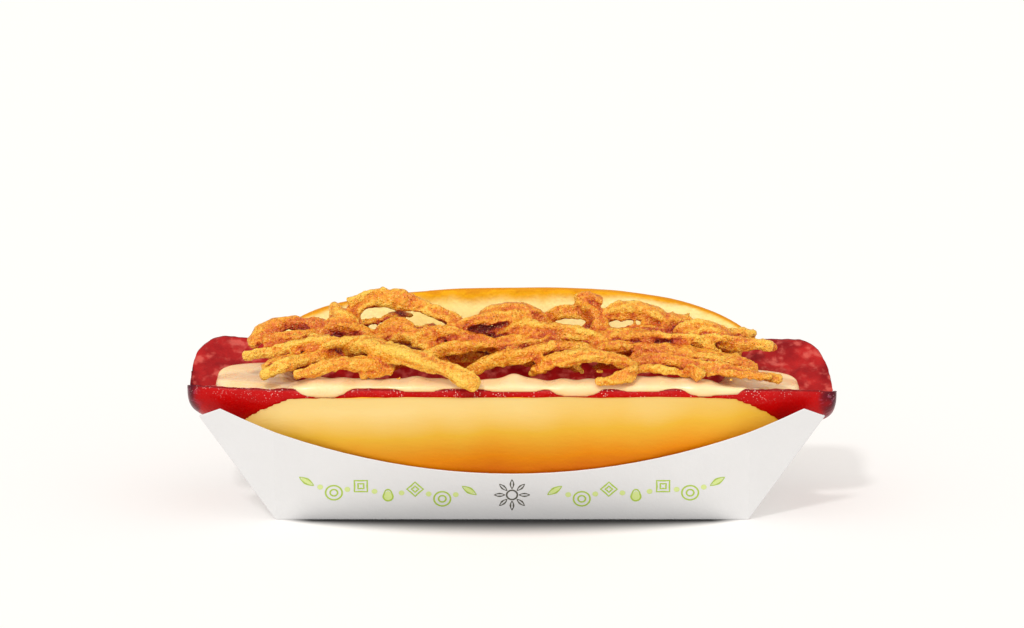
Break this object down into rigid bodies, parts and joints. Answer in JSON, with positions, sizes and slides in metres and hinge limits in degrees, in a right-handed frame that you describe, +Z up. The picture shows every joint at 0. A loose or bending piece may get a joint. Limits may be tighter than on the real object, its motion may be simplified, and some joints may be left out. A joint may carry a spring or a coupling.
{
  "type": "hot dog",
  "caption": "Hot dog in a folded card tray: a soft roll opened by a cut, a sausage split lengthwise and opened out, pale sauce along it and a tangle of fried onion strings on top.",
  "frame": {"origin": "under the middle of the whole, on the surface that the tray stands on", "axes": "+X along the roll to the right of the side seen from the front, -Y out of that side, +Z up"},
  "size_m": [0.1784, 0.0632, 0.0589],
  "materials": {
    "card": "matt white card with a small printed row of motifs",
    "bread": "soft golden crust, cream-yellow cut face",
    "sausage": "dark red glossy casing, mottled red cut face",
    "sauce": "pale cream-coloured smooth sauce",
    "onion": "rough golden-brown fried batter"
  },
  "bodies": {
    "root": {"card_tray": "card", "roll": "bread", "split_sausage": "sausage", "sauce": "sauce", "fried_onions": "onion"}
  },
  "joints": []
}
